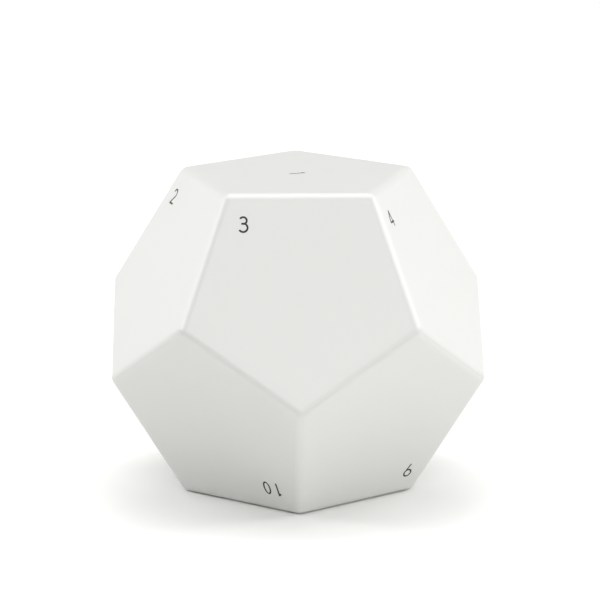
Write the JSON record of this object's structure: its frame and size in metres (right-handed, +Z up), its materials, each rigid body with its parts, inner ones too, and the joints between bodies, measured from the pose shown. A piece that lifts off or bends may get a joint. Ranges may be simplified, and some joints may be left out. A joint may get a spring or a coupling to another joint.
{
  "type": "twelve-sided remote control",
  "caption": "White dodecahedron remote control with a small numeral on each flat face, made of two snap-together shells around a battery chassis and a round circuit board.",
  "frame": {"origin": "centre of the outer box at the height of the face it stands on (the face numbered 12)", "axes": "+Z up through the face numbered 1; +Y away from the face numbered 3, along the body's longest width; +X to the right when the face numbered 3 is seen from the front"},
  "size_m": [0.093, 0.0976, 0.08],
  "materials": {
    "shell_plastic": "satin-gloss moulded white",
    "chassis_plastic": "fine moulded texture",
    "spring_steel": "bright stamped strip",
    "screw_steel": "zinc plated",
    "board": "white solder mask on glass-fibre board",
    "radio_board": "green solder mask",
    "shield_metal": "tinned sheet",
    "antenna_ceramic": "sintered ceramic",
    "chip_epoxy": "moulded epoxy",
    "ferrite": "sintered ferrite",
    "capacitor_ceramic": "sintered ceramic with tinned ends",
    "resistor_film": "glazed film with tinned ends",
    "led_body": "white reflector with clear yellow lens",
    "switch_body": "moulded",
    "button_plastic": "moulded",
    "contact_nickel": "nickel-plated strip",
    "contact_spring": "nickel-plated wire",
    "cell_can": "plated can",
    "cell_jacket": "shrink sleeve",
    "numeral_ink": "inlaid near-black grey"
  },
  "bodies": {
    "base": {"lower_shell": "shell_plastic", "chassis": "chassis_plastic", "main_board": "board", "snap_clips": "spring_steel", "chassis_screws": "screw_steel", "board_screws": "screw_steel", "radio_module": "radio_board", "radio_shield": "shield_metal", "antenna": "antenna_ceramic", "motion_sensor": "chip_epoxy", "voltage_regulator": "chip_epoxy", "power_inductor": "ferrite", "crystal": "shield_metal", "capacitors": "capacitor_ceramic", "resistors": "resistor_film", "upper_leds": "led_body", "lower_leds": "led_body", "reset_switch": "switch_body", "plus_contact": "contact_nickel", "minus_contact": "contact_nickel", "minus_spring": "contact_spring", "link_contact": "contact_nickel", "link_spring": "contact_spring", "numeral_7": "numeral_ink", "numeral_8": "numeral_ink", "numeral_9": "numeral_ink", "numeral_10": "numeral_ink", "numeral_11": "numeral_ink", "numeral_12": "numeral_ink"},
    "cap": {"upper_shell": "shell_plastic", "numeral_1": "numeral_ink", "numeral_2": "numeral_ink", "numeral_3": "numeral_ink", "numeral_4": "numeral_ink", "numeral_5": "numeral_ink", "numeral_6": "numeral_ink"},
    "cell_a": {"cell_a": "cell_can", "cell_a_jacket": "cell_jacket"},
    "cell_b": {"cell_b": "cell_can", "cell_b_jacket": "cell_jacket"},
    "button": {"reset_button": "button_plastic", "switch_plunger": "button_plastic"}
  },
  "joints": [
    {"name": "shell_lift", "type": "slide", "parent": "base", "child": "cap", "axis": [0, 0, 1], "range_m": [0, 0.06], "deforming": ["snap_clips"]},
    {"name": "cell_a_lift", "type": "slide", "parent": "base", "child": "cell_a", "axis": [0, 0, 1], "range_m": [0, 0.016]},
    {"name": "cell_b_lift", "type": "slide", "parent": "base", "child": "cell_b", "axis": [0, 0, 1], "range_m": [0, 0.016]},
    {"name": "reset_press", "type": "slide", "parent": "base", "child": "button", "axis": [0, 0, -1], "range_m": [0, 0.0003], "stiffness_N_per_m": 6000}
  ]
}
